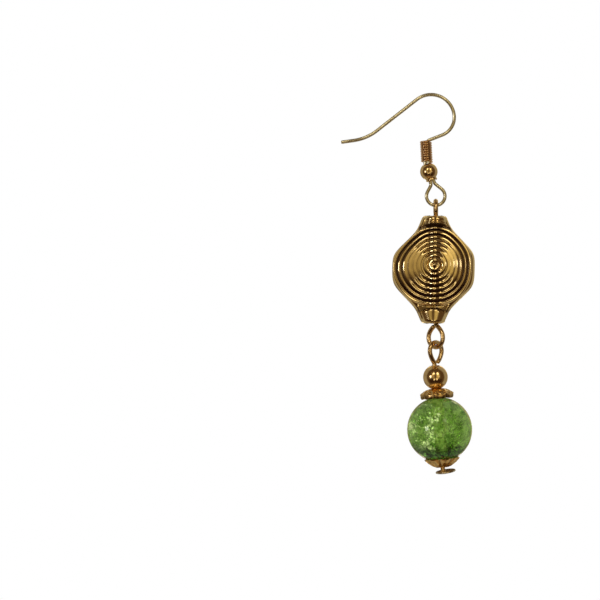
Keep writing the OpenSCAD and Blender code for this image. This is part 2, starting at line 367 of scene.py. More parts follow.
def geometry_tree(name, inputs):
    """An empty geometry tree that takes a mesh, the named inputs and a material"""
    tree = bpy.data.node_groups.new(name, "GeometryNodeTree")
    tree.is_modifier = True
    new_sockets(tree, "INPUT", [("Geometry", "Geometry"), *inputs, ("Material", "Material")])
    new_sockets(tree, "OUTPUT", [("Geometry", "Geometry")])
    nodes = Nodes(tree)
    return nodes, nodes.add("NodeGroupInput").outputs


def close_tree(nodes, geometry, material):
    """Every tree ends in Realize Instances and Set Material"""
    real = nodes.form("RealizeInstances", {"Geometry": geometry})
    dressed = nodes.form("SetMaterial", {"Geometry": real, "Material": material})
    nodes.add("NodeGroupOutput", inputs={0: dressed})
    return nodes.tree


def grow(made, tree, values):
    """Runs a geometry tree on an object and keeps the result as a plain mesh"""
    modifier = made.modifiers.new(tree.name, "NODES")
    modifier.node_group = tree
    for item in tree.interface.items_tree:
        if item.in_out == "INPUT" and item.name in values:
            modifier[item.identifier] = values[item.name]
    plain_mesh(made)


def wire_tree():
    """A round wire along a path of edges; the point attribute girth thins it at its ends"""
    nodes, given = geometry_tree("Round wire", [("Diameter", "Float", 0.7 * MM), ("Sides", "Int", 28)])
    curve = nodes.form("MeshToCurve", {"Mesh": given["Geometry"]})
    ring = nodes.form("CurvePrimitiveCircle", {
        "Resolution": given["Sides"], "Radius": nodes.product(given["Diameter"], 0.5)})
    swept = nodes.form("CurveToMesh", {
        "Curve": curve, "Profile Curve": ring, "Scale": nodes.read("girth"), "Fill Caps": True})
    rounded = nodes.form("SetShadeSmooth", {"Geometry": swept})
    return close_tree(nodes, rounded, given["Material"])


def ripple_tree():
    """Raises rings on the flat bead from the point attributes phase, side and relief"""
    nodes, given = geometry_tree("Ring ripples", [("Depth", "Float", 0.2 * MM), ("Fullness", "Float", 2.0)])
    phase = nodes.read("phase")
    off = nodes.maths("ABSOLUTE", nodes.maths("SUBTRACT", phase, nodes.maths("ROUND", phase)))
    valley = nodes.maths("POWER", nodes.product(off, 2.0), given["Fullness"])
    sunk = nodes.product(valley, given["Depth"], nodes.read("relief"), nodes.read("side"), -1.0)
    moved = nodes.form("SetPosition", {"Geometry": given["Geometry"], "Offset": nodes.along(Y=sunk)})
    return close_tree(nodes, moved, given["Material"])


def petal_tree():
    """Repeats one petal round Z and joins the petals into one cap"""
    nodes, given = geometry_tree("Petals round a pin", [("Petals", "Int", 8)])
    step = nodes.maths("DIVIDE", 2 * math.pi, given["Petals"])
    turn = nodes.product(step, nodes.add("GeometryNodeInputIndex").outputs[0])
    placed = nodes.form("InstanceOnPoints", {
        "Points": nodes.form("Points", {"Count": given["Petals"]}), "Instance": given["Geometry"],
        "Rotation": nodes.along(Z=turn)})
    real = nodes.form("RealizeInstances", {"Geometry": placed})
    joined = nodes.form("MergeByDistance", {"Geometry": real, "Distance": 2e-6})
    return close_tree(nodes, joined, given["Material"])


def crack_tree():
    """Scatters bent crack planes through a ball, clear of its hole"""
    nodes, given = geometry_tree("Crack planes", [
        ("Planes", "Int", 400), ("Ball", "Float", 4.4 * MM), ("Hole", "Float", 0.8 * MM),
        ("Size", "Float", 0.9 * MM), ("Seed", "Int", 1)])

    def chance(low, high, salt, kind="FLOAT_VECTOR"):
        seed = nodes.maths("ADD", given["Seed"], float(salt))
        made = nodes.add("FunctionNodeRandomValue", {"data_type": kind}, {"Seed": seed})
        ends = [s for s in made.inputs if s.enabled and s.name in ("Min", "Max")]
        ends[0].default_value, ends[1].default_value = low, high
        return next(s for s in made.outputs if s.enabled)

    way = nodes.vector("NORMALIZE", chance((-1, -1, -1), (1, 1, 1), 1))
    far = nodes.product(nodes.maths("POWER", chance(0.02, 1.0, 2, "FLOAT"), 0.40), given["Ball"])
    cloud = nodes.form("SetPosition", {
        "Geometry": nodes.form("Points", {"Count": given["Planes"]}),
        "Position": nodes.vector("MULTIPLY", way, far)})
    place = nodes.add("GeometryNodeInputPosition").outputs[0]
    aside = nodes.vector("LENGTH", nodes.vector("MULTIPLY", place, (1, 1, 0)))
    kept = nodes.add("GeometryNodeDeleteGeometry", {"domain": "POINT"}, {
        "Geometry": cloud, "Selection": nodes.maths("LESS_THAN", aside, given["Hole"])})
    placed = nodes.form("InstanceOnPoints", {
        "Points": kept.outputs[0], "Instance": given["Geometry"],
        "Rotation": chance((0, 0, 0), (6.283, 6.283, 6.283), 3)})
    size = nodes.product(chance(0.35, 1.25, 4, "FLOAT"), given["Size"])
    scaled = nodes.form("ScaleInstances", {"Instances": placed, "Scale": nodes.along(X=size, Y=size, Z=size)})
    return close_tree(nodes, scaled, given["Material"])


# Materials

def once(name, fill):
    """A material by its name, filled with nodes the first time that it is asked for"""
    if name not in bpy.data.materials:
        material = bpy.data.materials.new(name)
        material.use_nodes = True
        fill(emptied(material.node_tree))
    return bpy.data.materials[name]


def handled_metal():
    """Plated metal that has been handled: faint clouding, spots of tarnish and a fine grain"""
    def fill(nodes, given):
        spot = nodes.spot()
        clouds = nodes.noise(spot, given["Grain"], 3.0, 0.6)
        fine = nodes.noise(spot, nodes.product(given["Grain"], 7.0), 2.0)
        stain = nodes.product(nodes.spread(clouds, 0.45, 0.75), given["Tarnish"])
        tone = nodes.mix(stain, given["Polished"], given["Tarnished"])
        rough = nodes.maths("ADD", given["Shine"], nodes.product(fine, stain, 0.35))
        height = nodes.maths("ADD", nodes.product(clouds, 0.7), nodes.product(fine, 0.3))
        return tone, rough, height

    return shader_group("handled metal", [
        ("Polished", "Color", (1, 1, 1, 1)), ("Tarnished", "Color", (0, 0, 0, 1)), ("Tarnish", "Float", 0.2),
        ("Shine", "Float", 0.1), ("Grain", "Float", 900.0)],
        [("Colour", "Color"), ("Roughness", "Float"), ("Height", "Float")], fill)


def metal(name, finish, tarnish, shine, tarnished=None, grain=900.0, bump=0.02):
    """Plated metal; without a tarnished colour, the dark colour lies where the point attribute groove is 1:
    in patinated hollows and as painted shade
    """
    look = bpy.context.scene.earring_finish

    def fill(nodes):
        dark = (*(tarnished or look.patina_and_shade), 1)
        worn = nodes.add("ShaderNodeGroup", {"node_tree": handled_metal()}, {
            "Polished": (*getattr(look, finish), 1), "Tarnished": dark, "Tarnish": tarnish, "Shine": shine,
            "Grain": grain}).outputs
        tone, rough = worn["Colour"], worn["Roughness"]
        if tarnished is None:
            # The groove attribute: patinated hollows and painted shade
            mask = nodes.add("ShaderNodeAttribute", {"attribute_name": "groove"}).outputs["Fac"]
            tone = nodes.mix(mask, tone, dark)
            rough = nodes.maths("ADD", rough, nodes.product(mask, 0.25))
        nodes.surface("ShaderNodeBsdfPrincipled", {
            "Base Color": tone, "Metallic": 1.0, "Roughness": rough,
            "Normal": nodes.bump(bump, 0.2 * MM, worn["Height"])})

    return once(name, fill)


def pale_gold_wire():
    """The hook's wire, worn pale"""
    return metal("pale_gold_wire", "pale_gold", tarnish=0.35, shine=0.22, tarnished=(0.28, 0.2, 0.09))


def pin_gold_wire():
    """The wire of both pins"""
    return metal("pin_gold_wire", "pin_gold", tarnish=0.3, shine=0.2, tarnished=(0.25, 0.15, 0.06))


def warm_gold():
    """The two balls"""
    return metal("warm_gold", "warm_gold", tarnish=0.35, shine=0.17, tarnished=(0.4, 0.2, 0.06))


def copper_gold():
    """The coil, redder than the rest"""
    return metal("copper_gold", "copper_gold", tarnish=0.35, shine=0.16, tarnished=(0.35, 0.16, 0.05))


def cap_gold():
    """The caps, with patinated hollows on and between their petals, and painted shade on the upper cap's
    turned-down lip
    """
    return metal("cap_gold", "cap_gold", tarnish=0.3, shine=0.18)


def patinated_relief():
    """The ripple bead: antique gold with patinated grooves, and painted shade in its lower and upper sectors
    and at the creases by its tubes
    """
    return metal("patinated_relief", "antique_gold", tarnish=0.12, shine=0.11, grain=1400.0, bump=0.03)


def worn_head():
    """The flat head, worn down to pale metal"""
    return metal("worn_head", "worn_steel", tarnish=0.6, shine=0.25, tarnished=(0.3, 0.22, 0.12))


def ground_hole():
    """The ground wall of the glass bead's hole, pale and matt, with a painted glow standing in for the light
    that the cracks scatter
    """
    def fill(nodes):
        grain = nodes.spread(nodes.noise(nodes.spot(), 1500.0, 2.0), 0.35, 0.65)
        nodes.surface("ShaderNodeBsdfPrincipled", {
            "Base Color": nodes.mix(grain, (0.55, 0.70, 0.42, 1), (1.0, 1.0, 0.85, 1)), "Roughness": 0.7,
            # Painted glow: the wall emits light as if lit by the cracks
            "Emission Color": nodes.mix(grain, (0.08, 0.11, 0.03, 1), (0.20, 0.23, 0.09, 1)),
            "Emission Strength": 1.0})

    return once("ground_hole", fill)


def place_in_ball(nodes, centre, radius):
    """Where a point lies across a ball, in radii, and how much painted shade the caps cast on the glass
    there, full at the bottom and half at the top
    """
    def fill(inner, given):
        place = inner.parts(inner.vector("SUBTRACT", inner.spot(), given["Centre"]))
        across, height = (inner.maths("DIVIDE", place[way], given["Radius"]) for way in "XZ")
        shade = inner.maths("MAXIMUM", inner.spread(height, 0.40, 0.95, 0.0, 0.5),
                            inner.spread(height, -0.70, -0.30, 1.0, 0.0))
        return across, shade

    group = shader_group("place in ball", [("Centre", "Vector"), ("Radius", "Float", 5 * MM)],
                         [("Across", "Float"), ("Shade", "Float")], fill)
    made = nodes.add("ShaderNodeGroup", {"node_tree": group}, {"Centre": centre, "Radius": radius}).outputs
    return made["Across"], made["Shade"]


def crackle_glass(centre, radius):
    """Green glass whose surface is drawn into small dents, so that it glints; painted shade darkens its
    colour near the caps
    """
    def fill(nodes):
        look = bpy.context.scene.earring_finish
        spot = nodes.spot()
        dents = nodes.add("ShaderNodeTexVoronoi", {"feature": "SMOOTH_F1"}, {
            "Vector": spot, "Scale": 1900.0, "Smoothness": 0.3}).outputs["Distance"]
        waves = nodes.noise(spot, 1100.0, 3.0)
        height = nodes.maths("ADD", nodes.product(dents, 0.55), nodes.product(waves, 0.8))
        _, shade = place_in_ball(nodes, centre, radius)
        # Base colour: glass green, with painted shade towards the caps
        nodes.surface("ShaderNodeBsdfPrincipled", {
            "Base Color": nodes.mix(shade, (*look.glass_green, 1), (0.012, 0.05, 0.003, 1)), "Metallic": 0.0,
            "Roughness": 0.04, "IOR": 1.48, "Transmission Weight": 1.0,
            "Normal": nodes.bump(0.35, 0.12 * MM, height)})

    return once("crackle_glass", fill)


def crack_planes(centre, radius):
    """Crack planes: clear green in the middle, with painted shade towards the caps, and painted glints among
    them that glow, most on the left
    """
    def fill(nodes):
        look = bpy.context.scene.earring_finish
        spot = nodes.spot()
        across, shade = place_in_ball(nodes, centre, radius)
        tall = nodes.vector("MULTIPLY", spot, (1, 1, 0.5))
        tone = nodes.mix(nodes.spread(nodes.noise(spot, 1700.0, 1.0), 0.36, 0.6),
                         (0.09, 0.24, 0.03, 1), (*look.crack_green, 1))
        # Painted shade: the planes darken towards the caps
        tone = nodes.mix(nodes.product(shade, 0.95), tone, (0.01, 0.06, 0.0, 1))
        # Painted glints: planes picked by noise, mostly on the left and away from the caps
        painted_glints = nodes.product(
            nodes.spread(across, -0.1, 0.5, 1.0, 0.2),
            nodes.spread(nodes.noise(tall, 480.0, 0.0), 0.47, 0.56),
            nodes.spread(nodes.noise(tall, 1500.0, 0.0), 0.60, 0.63),
            nodes.maths("SUBTRACT", 1.0, shade))
        tone = nodes.mix(painted_glints, tone, (1.0, 0.95, 0.85, 1))
        # Painted glints are near opaque, and painted shade makes planes near the caps more opaque
        solid = nodes.maths("MAXIMUM", nodes.product(painted_glints, 0.95),
                            nodes.maths("ADD", 0.26, nodes.product(shade, 0.4)))
        nodes.surface("ShaderNodeBsdfPrincipled", {
            "Base Color": tone, "Metallic": 0.95, "Roughness": 0.22, "Alpha": solid,
            # The painted glints glow
            "Emission Color": nodes.mix(painted_glints, (0, 0, 0, 1), (0.95, 0.86, 0.90, 1)),
            "Emission Strength": 1.0})

    return once("crack_planes", fill)


# Paths of the bent wires, in millimetres; a pose is (x, z, heading) and a step (run, radius, turn)

def after_run(pose, run):
    a = math.radians(pose[2])
    return (pose[0] + run * math.cos(a), pose[1] + run * math.sin(a), pose[2])


def after_bend(pose, radius, turn):
    side = -1 if turn < 0 else 1
    a, b = math.radians(pose[2]), math.radians(pose[2] + turn)
    return (pose[0] + side * radius * (math.sin(b) - math.sin(a)),
            pose[1] - side * radius * (math.cos(b) - math.cos(a)), pose[2] + turn)


def poses_along(pose, steps, fine=4.0):
    """Every pose along the steps, one for each few degrees of bend"""
    poses = [pose]
    for run, radius, turn in steps:
        if run > 0:
            pose = after_run(pose, run)
            poses.append(pose)
        if radius > 0:
            parts = max(2, int(abs(turn) / fine))
            start = pose
            for k in range(1, parts + 1):
                pose = after_bend(start, radius, turn * k / parts)
                poses.append(pose)
    return poses


# The hook: the top of its bow, the bow's radius and its free end
BOW_TOP, BOW = (0.0, 0.27, 0.0), 3.57
EAR_STEPS = [(0, BOW, -38), (7.8, 7.4, 30), (2.0, 0, 0)]

# The shank: how far the bow and the shoulder turn, the shoulder's radius, the lean in the coil and in the
# ball, how far the bend to the ball starts inside the coil, its radius, and the run through the ball
BOW_TURN, SHOULDER_TURN, SHOULDER = 85, 73.6, 2.9
COIL_LEAN, BALL_LEAN = 3, 18
BEND_INSIDE, BALL_BEND, BALL_RUN = 0.15, 4.0, 2.1

# The hook's loop: its radius, the radius of its neck, and how far its two sides spread
LOOP_R, NECK_R, RIGHT_SPREAD, LEFT_SPREAD = 1.42, 0.6, 33, 46

# Steps down the shank before the coil, before the ball, and to the end of the loop
TO_COIL, TO_BALL, TO_LOOP = 3, 4, 6

# The eye pin: radius of both eyes, of the lower one's sides and of the necks, the lower one's spread, how far
# the upper one goes round, and how far the wires' ends run on or stop short
UPPER_EYE, LOWER_EYE, EYE_SIDE, EYE_NECK, EYE_SPREAD = 1.1, 1.5, 3.0, 0.45, 60
UPPER_ROUND, UPPER_END, LOWER_SHORT = 210, 0.4, 2.5

# The head pin: its loop in the same way, how far its middle stands aside, and its wire's bent end
HEAD_LOOP, HEAD_SIDE, HEAD_NECK, HEAD_SPREAD, HEAD_ASIDE = 1.3, 3.5, 0.5, 44, 0.3
HEAD_ROUND, HEAD_END, END_TURN = 195, 3, 34

# The lower eye and the head pin's loop stand halfway between the front and the side
EYE_TURN = math.radians(45)

# Heights on the head pin above the middle of the glass, and how far its flat head sits aside and tips
PIN_TOP, SPACER_Z, HEAD_Z = 10.1, 8.1, -6.35
FLAT_ASIDE, FLAT_TIP_X, FLAT_TIP_Y = 0.4, math.radians(8), math.radians(-4)

# Down the chain: gap where two wires hang in each other, how far the upper eye sinks into the bead, length
# from the bead to the drop, and how far the bead stands aside
WIRE_GAP, EYE_SUNK, LINK_DROP, BEAD_SHIFT = 0.05, 0.25, 3.7, -0.25


def shank_steps(sizes):
    """From the bow down through coil and ball, round the loop and back up"""
    pair = sizes.pair / MM
    coil = sizes.coil_turns * sizes.coil_pitch / MM - BEND_INSIDE

    def side(spread):
        a = math.radians(spread)
        return LOOP_R * math.cos(a) - pair / 2 - NECK_R * (1 - math.cos(a)), (NECK_R + LOOP_R) * math.sin(a)

    right, left = side(RIGHT_SPREAD), side(LEFT_SPREAD)
    tan_r, tan_l = math.tan(math.radians(RIGHT_SPREAD)), math.tan(math.radians(LEFT_SPREAD))
    shift = (left[0] / tan_l + left[1] - right[0] / tan_r - right[1]) / (1 / tan_r + 1 / tan_l)
    down = (right[0] + shift) / math.sin(math.radians(RIGHT_SPREAD))
    back = (left[0] - shift) / math.sin(math.radians(LEFT_SPREAD))
    return [
        (0, BOW, -BOW_TURN), (0, SHOULDER, -SHOULDER_TURN),
        (2.15, 0.38, BOW_TURN + SHOULDER_TURN - 90 + COIL_LEAN),
        (coil, BALL_BEND, BALL_LEAN - COIL_LEAN), (BALL_RUN, NECK_R, RIGHT_SPREAD),
        (down, LOOP_R, -180 - RIGHT_SPREAD - LEFT_SPREAD), (back, NECK_R, LEFT_SPREAD),
        (BALL_RUN, BALL_BEND + pair, COIL_LEAN - BALL_LEAN), (coil / 2, 0, 0)]


def pear_bends(radius, side, neck, spread, aside=0.0):
    """How far a pear-shaped eye's side bends, in degrees, and how high the eye's middle is over its neck"""
    a = math.radians(spread)
    inner = math.acos((side * math.cos(a) - neck * (1 - math.cos(a)) - aside) / (side - radius))
    return math.degrees(inner), (neck + side) * math.sin(a) - (side - radius) * math.sin(inner)


def chain_heights(context):
    """Heights down the chain in millimetres, worked out as the pieces hang"""
    sizes, bead = context.scene.earring_wires, context.scene.earring_bead
    wire, pin, half_bead = sizes.hook_wire / MM, sizes.pin_wire / MM, bead.long / MM / 2
    loop = poses_along(BOW_TOP, shank_steps(sizes)[:TO_LOOP], 1.0)
    x, swing, _ = min(loop, key=lambda pose: pose[1])
    upper_eye = swing + wire / 2 + WIRE_GAP + pin / 2 - UPPER_EYE
    middle = upper_eye - UPPER_EYE - pin / 2 + EYE_SUNK - half_bead
    drop_swing = middle - half_bead - LINK_DROP
    return {"x": x, "upper_eye": upper_eye, "bead": middle, "lower_eye": drop_swing + LOWER_EYE,
            "drop_swing": drop_swing}


def on_wire(pose):
    """Places a piece at a pose of the hook's wire, with its +Z along the wire"""
    return (Matrix.Translation((pose[0] * MM, 0, pose[1] * MM))
            @ Matrix.Rotation(math.radians(90 - pose[2]), 4, "Y"))


# How a wire's end is rounded: way back from the tip and girth, both as shares of the wire's own
ROUNDED_END = ((0.30, 1.0), (0.14, 0.93), (0.04, 0.74), (0.0, 0.45))


def wire_piece(name, points, diameter, material, sides=28):
    """A wire along points in metres, with its two ends rounded off"""
    points = [Vector(p) for p in points]
    girth = [1.0] * len(points)
    for _ in range(2):
        points.reverse()
        girth.reverse()
        tip, way = points[-1], (points[-1] - points[-2]).normalized()
        points[-1:] = [tip - way * diameter * back for back, _ in ROUNDED_END]
        girth[-1:] = [share_of for _, share_of in ROUNDED_END]
    mesh = mesh_from(name, points, (), [(i, i + 1) for i in range(len(points) - 1)])
    attribute(mesh, "girth", girth)
    made = mesh_object(name, mesh)
    tree = bpy.data.node_groups.get("Round wire") or wire_tree()
    grow(made, tree, {"Diameter": diameter, "Sides": sides, "Material": material})
    face_outwards(made.data)
    smooth(made.data, 50)
    return made


# Operators, one for each piece or group of like pieces

class PieceOperator(bpy.types.Operator):
    bl_options = {"REGISTER", "UNDO"}


class EARRING_OT_ear_hook(PieceOperator):
    """The hook: one wire from the free end over the bow to its own loop and back up"""
    bl_idname = "earring.ear_hook"
    bl_label = "Ear hook"

    def execute(self, context):
        sizes = context.scene.earring_wires
        ear = [(-x, z) for x, z, _ in poses_along(BOW_TOP, EAR_STEPS, 3.0)]
        shank = [(x, z) for x, z, _ in poses_along(BOW_TOP, shank_steps(sizes))]
        points = [(x * MM, 0, z * MM) for x, z in ear[::-1] + shank[1:]]
        made = wire_piece("ear_hook_wire", points, sizes.hook_wire, pale_gold_wire())
        settle(made, "hook", ["ear_hook"])
        return {"FINISHED"}


class EARRING_OT_coil_wrap(PieceOperator):
    """The thin wire coiled round both strands"""
    bl_idname = "earring.coil_wrap"
    bl_label = "Coil"

    def execute(self, context):
        sizes = context.scene.earring_wires
        pair, wire, pitch = sizes.pair, sizes.coil_wire, sizes.coil_pitch
        start, steps, clear, tucked = 225, 32, 0.03 * MM, 0.06 * MM
        radius = pair / 2 + sizes.hook_wire / 2 + clear + wire / 2
        first = wire / 2 - tucked - pitch * (1 - (start - 180) / 360)
        shank = poses_along(BOW_TOP, shank_steps(sizes)[:TO_COIL])[-1]
        place = on_wire(shank) @ Matrix.Translation((pair / 2, 0, first))
        points = []
        for i in range(sizes.coil_turns * steps + 1):
            a = math.radians(start + 360 * i / steps)
            points.append(place @ Vector((radius * math.cos(a), radius * math.sin(a), pitch * i / steps)))
        made = wire_piece("coil_wire", points, wire, copper_gold(), sides=14)
        settle(made, "hook", ["coil_wrap"])
        return {"FINISHED"}


class EARRING_OT_hook_ball(PieceOperator):
    """The ball under the coil, with the torn lip of its seam at the lower hole"""
    bl_idname = "earring.hook_ball"
    bl_label = "Hook ball"

    def execute(self, context):
        sizes = context.scene.earring_wires
        ball, bore = sizes.ball / 2, (sizes.pair + sizes.hook_wire + 0.12 * MM) / 2
        opening = math.degrees(math.asin(bore / ball))
        half = math.sqrt(ball ** 2 - bore ** 2)
        lip, lip_turn = 0.3 * MM, 9
        profile = arc((0, 0), ball, -(90 - opening), 90 - opening - lip_turn, 48)
        profile += [(bore + 0.25 * MM, half + 0.05 * MM), (bore + 0.24 * MM, half + lip * 0.7),
                    (bore + 0.16 * MM, half + lip), (bore + 0.04 * MM, half + lip * 0.93),
                    (bore, half + lip * 0.7)]
        mesh = lathe("hook_ball_shell", profile)
        points = coordinates(mesh)
        turn = np.arctan2(points[:, 1], points[:, 0])
        ragged = np.clip((points[:, 2] - half) / lip, 0, 1)
        points[:, 2] -= ragged * lip * (0.25 + 0.25 * np.sin(3 * turn + 1) + 0.2 * np.sin(7 * turn))
        mesh.vertices.foreach_set("co", points.ravel())
        pose = after_run(poses_along(BOW_TOP, shank_steps(sizes)[:TO_BALL])[-1], 0.3)
        mesh.transform(on_wire(pose) @ Matrix.Translation((sizes.pair / 2, 0, 0)))
        smooth(mesh)
        settle(mesh_object("hook_ball_shell", mesh), "hook", ["hook_ball"], warm_gold())
        return {"FINISHED"}


class EARRING_OT_eye_pin(PieceOperator):
    """The straight wire through the ripple bead, with a round eye above and a pear-shaped one below"""
    bl_idname = "earring.eye_pin"
    bl_label = "Eye pin"

    def execute(self, context):
        sizes = context.scene.earring_wires
        at = chain_heights(context)
        reach = math.sqrt((EYE_NECK + UPPER_EYE) ** 2 - EYE_NECK ** 2)
        away = math.degrees(math.acos(EYE_NECK / (EYE_NECK + UPPER_EYE)))
        round_eye = [(at["upper_eye"] - reach - at["bead"], EYE_NECK, away),
                     (0, UPPER_EYE, -UPPER_ROUND - away), (UPPER_END, 0, 0)]
        inner, fall = pear_bends(LOWER_EYE, EYE_SIDE, EYE_NECK, EYE_SPREAD)
        pear_eye = [(at["bead"] - at["lower_eye"] - fall, EYE_NECK, EYE_SPREAD),
                    (0, EYE_SIDE, inner - EYE_SPREAD), (0, LOWER_EYE, -180 - 2 * inner),
                    (0, EYE_SIDE, LOWER_SHORT + inner - EYE_SPREAD)]
        upper = [(at["x"], -z, at["bead"] + x) for x, z, _ in poses_along((0, 0, 0), round_eye)]
        cos, sin = math.cos(EYE_TURN), math.sin(EYE_TURN)
        lower = [(at["x"] + z * cos, -z * sin, at["bead"] - x)
                 for x, z, _ in poses_along((0, 0, 0), pear_eye)]
        points = [Vector(p) * MM for p in upper[::-1] + lower[1:]]
        made = wire_piece("eye_pin_wire", points, sizes.pin_wire, pin_gold_wire())
        settle(made, "link", ["eye_pin"])
        return {"FINISHED"}


# Sides of the ripple bead's body, of its necks and of its ring field, as seen from the front: the direction
# each faces, in degrees, and its distance from the middle of the bead or, for the field, of the rings
BODY_SIDES = [(0, -0.1), (45, 6.25), (135, 6.12), (180, 0.1), (225, 6.22), (315, 6.1)]
NECK_SIDES = [(19, 4.32), (161, 4.5), (199, 4.44), (341, 4.28)]
FIELD_SIDES = [(0, 5.6), (45, 6.05), (90, 6.65), (135, 6.0), (180, 6.4), (225, 5.9), (270, 5.45), (315, 5.55)]
RING_MEAN = 5.95
TUBE_TOP, TUBE_BOTTOM = 6.9, 6.0


def eased(value):
    """0 to 1 with soft ends"""
    value = np.clip(value, 0, 1)
    return value * value * (3 - 2 * value)


def soft_reach(sides, angles, sharp, rise):
    """Distance from the middle of the rings to a polygon with soft corners, for each angle"""
    total = np.zeros_like(angles)
    for normal, distance in sides:
        n = math.radians(normal)
        total += (np.maximum(0, np.cos(angles - n)) / (distance - rise * math.sin(n))) ** sharp
    return total ** (-1 / sharp)


def bead_outlines(angles, bead):
    """Edge of the bead and edge of its ring field, in millimetres from the middle of the rings"""
    half, end, rise = bead.wide / MM / 2, bead.long / MM / 2, bead.rise / MM
    body = [(way, half + far if way in (0, 180) else far) for way, far in BODY_SIDES]
    necks = NECK_SIDES + [(90, end), (270, end)]
    out = (soft_reach(body, angles, 16, rise) ** 24 + soft_reach(necks, angles, 30, rise) ** 24) ** (1 / 24)
    return out, soft_reach(FIELD_SIDES, angles, 8, rise)


def ring_reach(u, edge):
    """Reach of a ring at a share of the way out: rings are round in the middle and follow the edge outside"""
    return RING_MEAN + (edge - RING_MEAN) * eased((u - 0.1) / 0.8)


def ripple_body(bead):
    """The smooth flat body as a polar grid, with what the ripple tree needs as attributes"""
    spokes, per_ring = 240, 10
    thick, edge_h, rim_h, neck_h = bead.thick / MM / 2, 1.5, 1.3, 1.1
    rise, spine_h = bead.rise / MM, bead.spine / MM
    angles = np.arange(spokes) * 2 * math.pi / spokes
    out, edge = bead_outlines(angles, bead)
    shoulder = rim_h + (neck_h - rim_h) * np.clip((out - edge - 0.65) / 0.8, 0, 1)
    curve = np.minimum(0.9, 0.75 * (out - edge))

    def rim(reach):
        return edge_h + (shoulder - edge_h) * eased((reach - edge) / 0.32)

    ringed = bead.rings * per_ring
    rows = []
    for u in np.arange(1, ringed + 1) / ringed:
        rows.append((u * ring_reach(u, edge), thick - (thick - edge_h) * u * u + 0 * edge,
                     bead.rings * u + 0 * edge))
    for s in np.linspace(0, 1, 8)[1:]:
        reach = edge + (out - curve - edge) * s
        rows.append((reach, rim(reach), bead.rings + 0 * edge))
    for q in np.radians(np.linspace(0, 90, 15))[1:]:
        reach = out - curve * (1 - math.sin(q))
        rows.append((reach, rim(reach) * math.cos(q), bead.rings + 0 * edge))
    reach, height, phase = (np.array(column) for column in zip(*rows))
    x, z = reach * np.cos(angles), rise + reach * np.sin(angles)
    height = height + spine_h * np.exp(-(x / 0.5) ** 2 / 2) * np.clip(height / edge_h, 0, 1)

    inside = np.clip(6.6 - phase, 0, 1) * np.clip((phase - 1.6) / 1.2, 0, 1)
    flanks = eased((np.abs(np.cos(angles)) - 0.5) / 0.35)
    worn = np.exp(-((x - 2.6) ** 2 + (z - 2.9) ** 2) / (2 * 1.6 ** 2))
    relief = (1 - 0.88 * inside * flanks) * (1 - 0.7 * worn)
    relief[ringed:] = 0

    total = len(rows)
    back = 1 + total * spokes
    points, sides, phases, reliefs, faces = [], [], [], [], []
    for side, last in ((-1, total), (1, total - 1)):
        points.append((0, side * (thick + spine_h), rise))
        points += [(x[k, i], side * height[k, i], z[k, i]) for k in range(last) for i in range(spokes)]
        sides += [side] * (1 + last * spokes)
        phases += [0, *phase[:last].ravel()]
        reliefs += [1, *relief[:last].ravel()]

    def at(side, k, i):
        return (back if side == 1 and k < total - 1 else 0) + 1 + k * spokes + i % spokes

    for side in (-1, 1):
        for i in range(spokes):
            faces.append((back if side == 1 else 0, at(side, 0, i), at(side, 0, i + 1)))
            faces += [(at(side, k, i), at(side, k + 1, i), at(side, k + 1, i + 1), at(side, k, i + 1))
                      for k in range(total - 1)]
    mesh = mesh_from("ripple_bead_cast", [Vector(p) * MM for p in points], faces)
    attribute(mesh, "side", sides)
    attribute(mesh, "phase", phases)
    attribute(mesh, "relief", reliefs)
    face_outwards(mesh)
    return mesh


def neck_tube(bead, way, start, arch, ridge):
    """The round tube at one end: it fills the neck's outline, flares towards the rings and may have ridges"""
    end, tube, segments = bead.long / MM / 2, bead.tube / MM, 96
    flare, soft, slope, wide = 0.28, 0.5, math.radians(19), 4.30
    rings = [(1.3, 1.0, 4.0, 0), (1.3, 1.0, start - 0.4, 0), (1.9, tube - flare, start, 1),
             (2.02, tube - 0.08, start + 0.10, 1), (2.1, tube, start + flare, 0.9)]
    for share_of in np.linspace(0.1, 1, 15):
        z = start + flare + (end - flare - soft - start) * share_of
        outline = max(tube, (wide - z * math.sin(slope)) / math.cos(slope))
        rings.append((outline, tube + ridge * math.cos(4 * math.pi * share_of), z, 0.9 * (1 - share_of)))
    rx, ry = rings[-1][:2]
    for q in np.radians((20, 40, 60, 78, 90)):
        less = soft * (1 - math.cos(q))
        rings.append((rx - less, ry - less, end - soft + soft * math.sin(q), 0))
    turn = np.arange(segments) * 2 * math.pi / segments
    points = [(x * math.cos(a), y * math.sin(a), z + arch * bow * math.cos(a) ** 2)
              for x, y, z, bow in rings for a in turn]
    points += [(0, 0, rings[0][2]), (0, 0, end)]
    last = len(rings) - 1
    faces = band_faces([(k, k + 1) for k in range(last)], segments)
    for i in range(segments):
        j = (i + 1) % segments
        faces += [(len(points) - 2, j, i), (len(points) - 1, last * segments + i, last * segments + j)]
    mesh = mesh_from("tube", [Vector((x, y, way * z)) * MM for x, y, z in points], faces)
    face_outwards(mesh)
    return mesh


